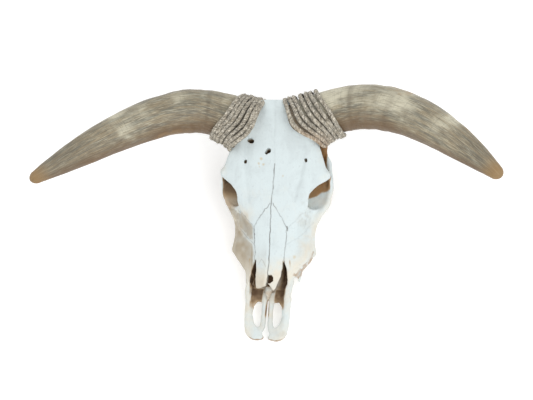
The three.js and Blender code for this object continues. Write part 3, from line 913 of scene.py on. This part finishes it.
def boneFinish():
    look = Finish("weatheredBone", boneColours, "bleached")
    spot = look.place()
    patches = look.noise(spot, 22, 4, 0.6, 0.4)
    clouds = look.noise(look.place((1, 0.45, 1)), 34, 4, 0.6, 0.6)
    speckle = look.noise(spot, 160, 3, 0.6)
    fibre = look.noise(look.place((420, 60, 420)), 1.0, 4, 0.6)
    pores = look.noise(spot, 900, 2, 0.5)
    chipped = look.spread(look.noise(spot, 70, 3, 0.6), 0.35, 0.7)
    shadeAndSoil = look.attribute("shadeAndSoil")
    crackAndShade = look.attribute("crackAndShade")
    look.lay("cream", look.spread(look.uneven(look.attribute("tone"), patches, 1.3), 0.15, 0.95))
    look.lay("grey", look.spread(clouds, 0.45, 0.75), 0.3)
    look.lay("grey", look.spread(speckle, 0.56, 0.75), 0.28)
    look.lay("grey", look.spread(fibre, 0.5, 0.8), 0.16)
    # grey-brown film, which on the right cheek is also painted shade
    look.lay("filmAndShade", look.spread(look.uneven(look.attribute("filmAndShade"), patches, 0.5), 0.05, 1.05))
    look.lay("tan", look.combine("MULTIPLY", look.attribute("worn"), chipped), 0.6)
    # painted shade in the crevices
    look.lay("tan", look.attribute("creviceShade"), 0.5)
    # painted shade and brown soil in the hollows, darkest where they are deepest
    look.lay("tan", look.spread(look.combine("ADD", shadeAndSoil, look.combine("MULTIPLY", speckle, 0.12)), 0.16, 0.72))
    look.lay("brown", look.spread(shadeAndSoil, 0.5, 0.98))
    # rust, and the painted shadow line along the lip
    look.lay("rustAndShadow", look.attribute("rustAndShadow"), 0.8)
    look.lay("stain", look.attribute("stain"), 0.7)
    # dark seams and cracks, with faint painted shade along the forehead's grooves
    look.lay("crackAndShade", crackAndShade)
    look.bump(look.combine("ADD", fibre, pores), 0.35, 0.0006)
    look.bump(look.combine("SUBTRACT", speckle, crackAndShade), 0.5, 0.0008)
    return look.done(look.spread(patches, 0.3, 0.7, 0.62, 0.8), 0.3)


hornColours = {
    "grey": (0.18, 0.17, 0.13), "tan": (0.31, 0.255, 0.165), "cream": (0.64, 0.605, 0.465),
    "dark": (0.08, 0.058, 0.036), "brown": (0.15, 0.088, 0.042), "amber": (0.32, 0.19, 0.07),
}


def hornFinish():
    # the sheath attribute holds the place round and along the horn in metres
    look = Finish("hornSheath", hornColours, "grey")
    sheath = look.attribute("sheath", "Vector")
    streaks = look.noise(look.place((200, 200, 14), sheath), 1.0, 5, 0.65, 0.8)
    fineStreaks = look.noise(look.place((800, 800, 45), sheath), 1.0, 3, 0.6, 0.4)
    rings = look.noise(look.place((16, 16, 380), sheath), 1.0, 4, 0.65, 0.6)
    mottle = look.noise(look.place((120, 120, 36), sheath), 1.0, 4, 0.65, 0.6)
    specks = look.noise(look.place((420, 420, 420), sheath), 1.0, 2, 0.6)
    look.lay("tan", look.spread(streaks, 0.36, 0.62))
    look.lay("cream", look.spread(look.uneven(look.attribute("pale"), mottle, 0.9), 0.1, 1.05), 0.9)
    look.lay("grey", look.spread(rings, 0.5, 0.66), 0.3)
    look.lay("cream", look.spread(fineStreaks, 0.5, 0.7), 0.5)
    look.lay("dark", look.spread(fineStreaks, 0.5, 0.32), 0.45)
    look.lay("dark", look.attribute("band"), 0.7)
    # painted shade on the underside of the horn and at its root
    look.lay("brown", look.attribute("under"))
    look.lay("brown", look.spread(specks, 0.66, 0.74), 0.5)
    look.lay("amber", look.attribute("rim"))
    look.bump(look.combine("ADD", streaks, fineStreaks), 0.5, 0.0009)
    look.bump(rings, 0.3, 0.0009)
    return look.done(look.spread(streaks, 0.3, 0.7, 0.4, 0.62), 0.4)


ropeColours = {
    "straw": (0.42, 0.37, 0.285), "grey": (0.29, 0.27, 0.225), "pale": (0.92, 0.86, 0.73),
    "dark": (0.032, 0.023, 0.015), "warm": (0.50, 0.28, 0.13),
}


def ropeFinish():
    # the twist attribute holds the place round and along the strand in metres
    look = Finish("juteCord", ropeColours, "grey")
    twist = look.attribute("twist", "Vector")
    yarn = look.noise(look.place((1600, 1600, 110), twist), 1.0, 4, 0.65, 0.4)
    length = look.noise(look.place((60, 60, 34), twist), 1.0, 4, 0.6)
    tufts = look.noise(look.place((330, 330, 170), twist), 1.0, 3, 0.6, 0.5)
    soil = look.noise(look.place(), 60, 3, 0.6)
    look.lay("straw", look.spread(length, 0.36, 0.64))
    # painted warm light
    look.lay("warm", look.attribute("warmLight"))
    look.lay("pale", look.spread(yarn, 0.5, 0.7), 0.7)
    look.lay("pale", look.spread(tufts, 0.5, 0.66), 0.85)
    look.lay("dark", look.spread(yarn, 0.3, 0.48, 1.0, 0.0), 0.6)
    look.lay("dark", look.spread(tufts, 0.34, 0.48, 1.0, 0.0), 0.7)
    look.lay("grey", look.spread(soil, 0.55, 0.75), 0.3)
    # painted shade in the grooves of the rope
    look.lay("dark", look.attribute("grooveShade"))
    look.bump(yarn, 0.8, 0.0012)
    return look.done(0.95, 0.1, 0.15)


bone = boneFinish()
hornSheath = hornFinish()
jute = ropeFinish()


# horns

hornShape = {
    "base": 48.5, "root": 55, "tip": 11, "flat": 0.93, "taper": 2.8, "rootLength": 0.17,
    "left": [(60, 442, 172), (189, 519, 180), (297, 455, 235), (455, 279, 290)],
    "right": [(-66, 435, 172), (-185, 494, 180), (-250, 449, 235), (-474, 241, 290)],
    "around": 120, "along": 460, "first": -0.004,
}


def hornLine(side, shares):
    # middle, sideways, upward and forward directions at shares of the horn's length, and that length;
    # it runs straight on before the root
    u = np.linspace(0, 1, 2001)[:, None]
    a, b, c, d = np.array(hornShape[side], float)
    line = a * (1 - u) ** 3 + 3 * b * u * (1 - u) ** 2 + 3 * c * u * u * (1 - u) + d * u**3
    run = np.concatenate([[0], np.cumsum(np.linalg.norm(np.diff(line, axis=0), axis=1))])
    slopes = np.gradient(line, axis=0)
    shares = np.asarray(shares, float)
    at = lambda rows: np.stack([np.interp(shares * run[-1], run, rows[:, k]) for k in range(3)], 1)
    middle, ahead = at(line), at(slopes)
    ahead /= np.linalg.norm(ahead, axis=1)[:, None]
    middle += np.minimum(shares, 0)[:, None] * run[-1] * ahead
    across = np.cross([0, 0, 1], ahead)
    across /= np.linalg.norm(across, axis=1)[:, None]
    return middle, across, np.cross(ahead, across), ahead, run[-1]


def hornRadius(t):
    shape = hornShape
    body = shape["tip"] + (shape["base"] - shape["tip"]) * (1 - np.clip(t, 0, 1) ** shape["taper"])
    flare = (shape["root"] - shape["base"]) * np.maximum(0, 1 - t / shape["rootLength"]) ** 2
    blunt = np.sqrt(np.clip(1 - (np.maximum(0, t - 0.975) / 0.025) ** 2, 0, 1))
    return (body + flare) * blunt


ropeShape = {
    "cord": 11, "turns": 7, "stepsPerTurn": 132, "sides": 12, "fibres": 2600,
    "start": {"left": -0.003, "right": -0.006}, "reach": {"left": 0.132, "right": 0.112},
    "lean": {"left": (0.28, 0.24), "right": (0.09, 0.36)}, "climb": {"left": (19, 7), "right": (21, 9)},
    "dip": {"left": (17, -5), "right": (15, 7)}, "firstAngle": {"left": 4.0, "right": -1.9},
    "wander": {"left": 2.2, "right": 3.0}, "bulk": 5, "lay": 46, "strandRadius": 3.5, "strandOffset": 1.25,
}


def turnShift(side, share, angle, back):
    # how far the turns of the rope go back along the horn: they lean, so that they lie further in at
    # the back, and they climb in over the bone on top and dip in beside it
    firstToLast = lambda first, last: first + (last - first) * share**1.4
    lean, climb, dip = (firstToLast(*ropeShape[key][side]) for key in ("lean", "climb", "dip"))
    dip = dip * np.exp(-((back + 0.41) / 0.5) ** 2) * ease(np.sin(angle), -0.5, 0.1)
    return back * lean * 53 + climb * np.maximum(np.sin(angle), 0) ** 1.5 + dip


def tubeFaces(rings, around):
    ring = np.arange(rings - 1)[:, None] * around
    k = np.arange(around)[None, :]
    ahead = (k + 1) % around
    return np.stack([ring + k, ring + ahead, ring + around + ahead, ring + around + k], -1).reshape(-1, 4)


def hornLooks(side, t, x, y, z, points, middle):
    # pale clouds, painted shade on the underside and at the root beside the rope, amber edges and dark cross bands of
    # the sheath
    away = points - middle[:, None]
    back = (away[..., 1] * 0.93 + away[..., 2] * 0.37) / np.maximum(np.linalg.norm(away, axis=2), 1e-6)
    seed = 65 if side == "left" else 75
    back = back + 0.16 * bumps(x, y, z * 0.3, 16, seed) + 0.1 * bumps(x, y, z * 0.5, 6, seed + 1)
    mark = lambda middleT, width: np.exp(-(((t - middleT) / width) ** 2))
    cloud = 0.6 + 0.35 * bumps(x, y, z * 0.4, 22, seed + 2) + 0.25 * bumps(x, y, z * 0.25, 8, seed + 3)
    if side == "left":
        pale = 0.35 + 1.1 * ease(back, -0.3, 0.5) * fade(t, 0.42, 0.62) - 0.35 * ease(t, 0.76, 0.86)
        pale = pale + mark(0.69, 0.045) * ease(back, -0.45, 0.1)
        rim = 0.7 * ease(back, 0.86, 1.0) * ease(t, 0.3, 0.5)
        band = 0.55 * mark(0.235, 0.014) + 0.3 * mark(0.43, 0.02) + 0.3 * ease(t, 0.76, 0.86)
    else:
        pale = 0.12 + 0.5 * ease(back, 0.1, 0.7) * fade(t, 0.3, 0.4) + mark(0.575, 0.045) * ease(back, -0.7, 0.0)
        pale = pale + 0.5 * mark(0.48, 0.05) * ease(back, -0.4, 0.2)
        rim = 0.4 * ease(-back, 0.84, 0.98) * ease(t, 0.2, 0.4)
        band = 0.5 * mark(0.185, 0.012) + 0.25 * mark(0.145, 0.02) + 0.35 * ease(t, 0.68, 0.8)
    tip = 0.7 * ease(t, 0.9, 0.98)
    # painted shade on the side of the horn facing down and forward, and at the root beside the rope
    under = np.maximum(0.85 * ease(-back, 0.12, 0.9), 0.8 * fade(t, 0.005, 0.035))
    looks = {"pale": pale * cloud, "under": under, "rim": rim + tip, "band": band * (0.4 + cloud)}
    return {name: np.clip(values, 0, 1) for name, values in looks.items()}


def buildHorn(side):
    along, around = hornShape["along"], hornShape["around"]
    t = hornShape["first"] + (1 - hornShape["first"]) * np.sin(np.linspace(0, 1, along) * math.pi / 2) ** 0.9
    middle, across, up, ahead, length = hornLine(side, t)
    angle = np.linspace(0, 2 * math.pi, around, endpoint=False)[None, :]
    c, s = np.cos(angle), np.sin(angle)
    run = t[:, None] * length
    back = across[:, 1:2] * c + up[:, 1:2] * s
    under = fade(t, -0.01, 0.08)[:, None]  # the part that follows the first turn of the rope
    radius = np.maximum(hornRadius(t), 0.4)[:, None] + 0.8 * ropeShape["bulk"] * under**1.5
    x, y, z = c * 30 + 0 * run, s * 30 + 0 * run, run + 0 * angle
    seed = 60 if side == "left" else 70
    early = fade(t, 0.1, 0.75)[:, None]
    rings = bumps(x * 0.15, y * 0.15, z, 6.5, seed) * 0.5 + bumps(x * 0.12, y * 0.12, z, 17, seed + 1) * 0.8
    fibres = bumps(x * 4.0, y * 4.0, z * 0.18, 7, seed + 2) * 0.3 + bumps(x, y, z * 0.35, 9, seed + 3) * 0.4
    rise = (rings * (0.25 + 0.75 * early) + fibres) * ease(1 - t, 0.0, 0.06)[:, None]
    rise = rise + 1.2 * bumps(x * 0.6, y * 0.6, z, 48, seed + 4) * ease(1 - t, 0, 0.2)[:, None]
    radius = radius + np.minimum(rise, radius * 0.5)
    inward = -turnShift(side, 0, angle, back) * under
    shifts = ((across, radius * c), (up, radius * s * hornShape["flat"]), (ahead, inward))
    points = middle[:, None] + sum(way[:, None] * size[..., None] for way, size in shifts)
    looks = hornLooks(side, t[:, None], x, y, z, points, middle)
    points = points.reshape(-1, 3)
    faces = [tubeFaces(along, around)]
    for ring, flip in ((0, True), (along - 1, False)):
        points = np.vstack([points, middle[ring]])
        k = np.arange(0, around, 2)
        rim = [ring * around + (k + step) % around for step in range(3)]
        fan = np.stack([np.full(len(k), len(points) - 1), *rim], 1)
        faces.append(fan[:, [1, 0, 3, 2]] if flip else fan)
    withEnds = lambda value, last=0: np.concatenate([np.broadcast_to(value, x.shape).ravel(), [0, last]])
    looks = {name: withEnds(values) for name, values in looks.items()}
    looks["sheath"] = np.stack([withEnds(x), withEnds(y), withEnds(z, length)], 1) * mm
    return meshPiece("horn_" + side, points, facingOut(points, np.concatenate(faces)), looks, hornSheath)


# ropes

def cordPath(side):
    # middle of the cord along all its turns
    shape = ropeShape
    count = shape["turns"] * shape["stepsPerTurn"] + 1
    share = np.linspace(0, 1, count)
    way, seed = (1, 80) if side == "left" else (-1, 90)
    angle = shape["firstAngle"][side] + 2 * math.pi * shape["turns"] * share * way
    wander = bumps(np.cos(angle) * 30, np.sin(angle) * 30, share * 260, 30, seed) * shape["wander"][side]
    wander = wander * ease(share, 0, 0.12) * ease(1 - share, 0, 0.12)
    t = shape["start"][side] + (shape["reach"][side] - shape["start"][side]) * share
    _, across, up, _, length = hornLine(side, t)
    back = (across * np.cos(angle)[:, None] + up * np.sin(angle)[:, None])[:, 1]
    t = t + (wander - turnShift(side, share, angle, back)) / length
    middle, across, up = hornLine(side, t)[:3]
    flat = hornShape["flat"] - 0.1 * (1 - share) ** 2
    outward = across * np.cos(angle)[:, None] + up * (np.sin(angle) * flat)[:, None]
    lift = shape["cord"] * (0.5 + 0.16 * bumps(np.cos(angle) * 30, np.sin(angle) * 30, share * 300, 26, seed + 1))
    lift = lift + shape["bulk"] * (1 - share) ** 1.5
    path = middle + outward * (hornRadius(t) + lift)[:, None]
    return path, outward / np.linalg.norm(outward, axis=1)[:, None], share


def cordStrands(path, sideways, upward, run, ends, onward):
    # three strands laid round the path, with their faces and looks
    shape = ropeShape
    sides = shape["sides"]
    angle = np.linspace(0, 2 * math.pi, sides, endpoint=False)[None, :]
    c, s = np.cos(angle), np.sin(angle)
    points, faces, twist, grooveShade, strands = [], [], [], [], []
    for strand in range(3):
        wind = 2 * math.pi * (run / shape["lay"] + strand / 3) + 0.5 * bumps(run, 0, strand, 60, 7)
        swell = 1 + 0.10 * bumps(run, 0, strand * 9.0, 14, 17) + 0.07 * bumps(run, 0, strand * 9.0, 5, 18)
        offset = (sideways * np.cos(wind)[:, None] + upward * np.sin(wind)[:, None]) * ends[:, None]
        middle = path + offset * shape["strandOffset"]
        radius = (shape["strandRadius"] * swell * ends)[:, None]
        radius = radius * (1 + 0.08 * bumps(c * 4, s * 4, run[:, None] + 40 * strand, 2.2, 19))
        ring = middle[:, None] + sideways[:, None] * (radius * c)[..., None] + upward[:, None] * (radius * s)[..., None]
        start = strand * len(path) * sides
        points.append(ring.reshape(-1, 3))
        faces.append(tubeFaces(len(path), sides) + start)
        spin = angle + 2 * math.pi * run[:, None] / 16
        wound = np.stack([np.cos(spin) * 3.3, np.sin(spin) * 3.3, run[:, None] + 500 * strand + 0 * c], -1)
        twist.append(wound.reshape(-1, 3) * mm)
        out = ring - path[:, None]
        above, free = (np.einsum("ijk,ik->ij", out, way) for way in (upward, onward))
        # painted shade on the low side of each strand and in the valleys between strands and turns
        dark = np.maximum(fade(above, -1.8, 3.5), 0.7 * fade(np.linalg.norm(out, axis=2), 2.4, 4.4))
        grooveShade.append((dark * (1 - 0.75 * ease(free, 0.3, 2.5))).ravel())
        for first, flip in ((start, True), (start + (len(path) - 1) * sides, False)):
            fan = np.array([[first, first + k + 1, first + k + 2, first + k + 3] for k in range(0, sides - 3, 2)])
            faces.append(fan[:, [1, 0, 3, 2]] if flip else fan)
        strands.append((ring, middle))
    return points, faces, twist, grooveShade, strands


def buildRope(side):
    shape = ropeShape
    path, outward, share = cordPath(side)
    ahead = np.gradient(path, axis=0)
    steps = np.linalg.norm(ahead, axis=1)
    run = np.cumsum(steps)
    ahead /= steps[:, None]
    sideways = np.cross(ahead, outward)
    sideways /= np.linalg.norm(sideways, axis=1)[:, None]
    upward = np.cross(sideways, ahead)
    ends = np.clip(np.minimum(share, 1 - share) / 0.004, 0.35, 1)
    # the free sides of the first and last turns get less painted shade than the grooves between turns
    turn = len(path) // shape["turns"]
    onward = np.zeros_like(path)
    onward[:turn] = path[:turn] - path[turn:2 * turn]
    onward[-turn:] = path[-turn:] - path[-2 * turn:-turn]
    onward /= np.maximum(np.linalg.norm(onward, axis=1), 1e-6)[:, None]
    points, faces, twist, grooveShade, strands = cordStrands(path, sideways, upward, run, ends, onward)
    total = sum(len(part) for part in points)
    rng = np.random.default_rng(11 if side == "left" else 12)
    for k in range(shape["fibres"]):
        ring, middle = strands[rng.integers(3)]
        i, j = rng.integers(4, len(path) - 4), rng.integers(shape["sides"])
        root = ring[i, j]
        out = (root - middle[i]) / np.linalg.norm(root - middle[i])
        lean = ahead[i] * rng.choice([-1, 1]) + sideways[i] * rng.normal(0, 0.5)
        reach, stand, curl, thick = (rng.uniform(*span) for span in ((3, 9), (0.15, 0.75), (0.3, 1), (0.14, 0.26)))
        if (root - path[i]) @ outward[i] < 0:
            continue
        rise = out * reach * stand
        way = (root - out * 0.6, root + lean * reach * 0.5 + rise * 0.45, root + lean * reach + rise * curl)
        second = np.cross(out, lean)
        second /= np.linalg.norm(second)
        corners = [math.cos(q) * out + math.sin(q) * second for q in (0.0, 2.094, 4.189)]
        sizes = (thick, thick * 0.8, thick * 0.25)
        points.append(np.array([spot + corner * size for spot, size in zip(way, sizes) for corner in corners]))
        faces.append(tubeFaces(3, 3) + total)
        faces.append(np.array([[0, 2, 1, 1], [6, 7, 8, 8]]) + total)
        twist.append(np.tile([[0.001 * (k % 7), 0.002, 0.01 * k]], (9, 1)))
        grooveShade.append(np.zeros(9))
        total += 9
    points, faces = np.vstack(points), np.vstack(faces)
    # painted warm light on the lower turns of both ropes and on the front of the left rope
    warmLight = 0.35 * ease(150 - points[:, 2], 0, 30)
    if side == "left":
        warmLight = warmLight + 0.5 * ease(410 - points[:, 1], 0, 24)
    looks = {"twist": np.vstack(twist), "grooveShade": np.concatenate(grooveShade), "warmLight": np.clip(warmLight, 0, 0.85)}
    return meshPiece("rope_" + side, points, facingOut(points, faces), looks, jute)


def fitPiece(piece, node):
    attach(piece, "root")
    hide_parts(node)


# the bones as pieces

def buildBone(node):
    family, _, side = node.partition("_")
    low, high = (np.array(corner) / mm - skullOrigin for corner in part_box(node))
    reach, x, y, z = skull.window(low - 9, high + 9)
    values = skull.values[reach].copy()
    for name, outside in rooms(x, y, z):
        if name == family:
            values = np.maximum(values, outside + boneGap)
            break
        values = np.maximum(values, boneGap - outside)
    if side:
        across = x + 0.5 * sawEdge(x, y)
        values = np.maximum(values, boneGap - across if side == "left" else boneGap + across)
    points, faces = skin(values, np.array([x[0, 0, 0], y[0, 0, 0], z[0, 0, 0]]))
    say(f"{node}: {len(faces)} faces")
    piece = meshPiece("bone_" + node, drift(points), faces, boneLooks(points), bone)
    smoothSeams(piece.data, points)
    return piece


def buildVomer():
    block = Block((-14, 88, 30), (14, 240, 96))
    block.join(limb([(1, 96, 46), (1, 104, 49), (0, 150, 55), (0, 225, 66)], [8, 9, 12, 16], (0.5, 1, 1), 10))
    block.join(ball((1.5, 107, 55), (7.5, 14, 9)), 5)
    block.cut(limb([(0, 110, 68), (0, 225, 86)], [3, 5], (0.5, 1, 1)), 2)
    points, faces = skin(block.values, block.low)
    looks = boneLooks(points)
    # less painted shade and soil at the front of the vomer
    looks["shadeAndSoil"] *= np.where(points[:, 1] < 111, 0.3, 1)
    return meshPiece("bone_vomer", drift(points), faces, looks, bone)


for node in sorted(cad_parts):
    if node.partition("_")[0] not in ("horn", "rope", "vomer"):
        fitPiece(buildBone(node), node)
fitPiece(buildVomer(), "vomer")
for side in ("left", "right"):
    fitPiece(buildHorn(side), "horn_" + side)
    fitPiece(buildRope(side), "rope_" + side)
    say("horn and rope on the " + side)


# floor and light

studio = {
    "floorSize": 14.0, "floorColours": {"light": (0.97, 0.97, 0.97), "shade": (0.95, 0.95, 0.95)}, "floorGlow": 0.22,
    "world": 0.78,
    "lamps": {"keyLight": [(1.3, -1.0, 2.2), 26, 1.6], "fillLight": [(-1.6, 0.6, 2.0), 8, 2.0]},  # place, power, size
}


def floorFinish():
    look = Finish("studioFloor", studio["floorColours"], "light")
    look.lay("shade", look.noise(look.place(), 3, 2, 0.5), 0.1)
    look.shader.inputs["Emission Color"].default_value = (1, 1, 1, 1)
    look.shader.inputs["Emission Strength"].default_value = studio["floorGlow"]
    return look.done(0.9, 0.05)


def buildStudio():
    size = studio["floorSize"] / 2
    mesh = bpy.data.meshes.new("floor")
    mesh.from_pydata([(-size, -size, 0), (size, -size, 0), (size, size, 0), (-size, size, 0)], [], [(0, 1, 2, 3)])
    mesh.materials.append(floorFinish())
    newObject("floor", mesh)
    world = bpy.data.worlds.new("studio")
    world.use_nodes = True
    world.node_tree.nodes["Background"].inputs["Color"].default_value = (1, 1, 1, 1)
    world.node_tree.nodes["Background"].inputs["Strength"].default_value = studio["world"]
    bpy.context.scene.world = world
    for name, (spot, power, wide) in studio["lamps"].items():
        lamp = bpy.data.lights.new(name, "AREA")
        lamp.energy = power
        lamp.size = wide
        holder = newObject(name, lamp)
        holder.location = spot
        holder.rotation_euler = (Vector((0, 0, 0.1)) - Vector(spot)).to_track_quat("-Z", "Y").to_euler()
    bpy.context.scene.view_settings.view_transform = "Standard"


buildStudio()
say("studio lit")
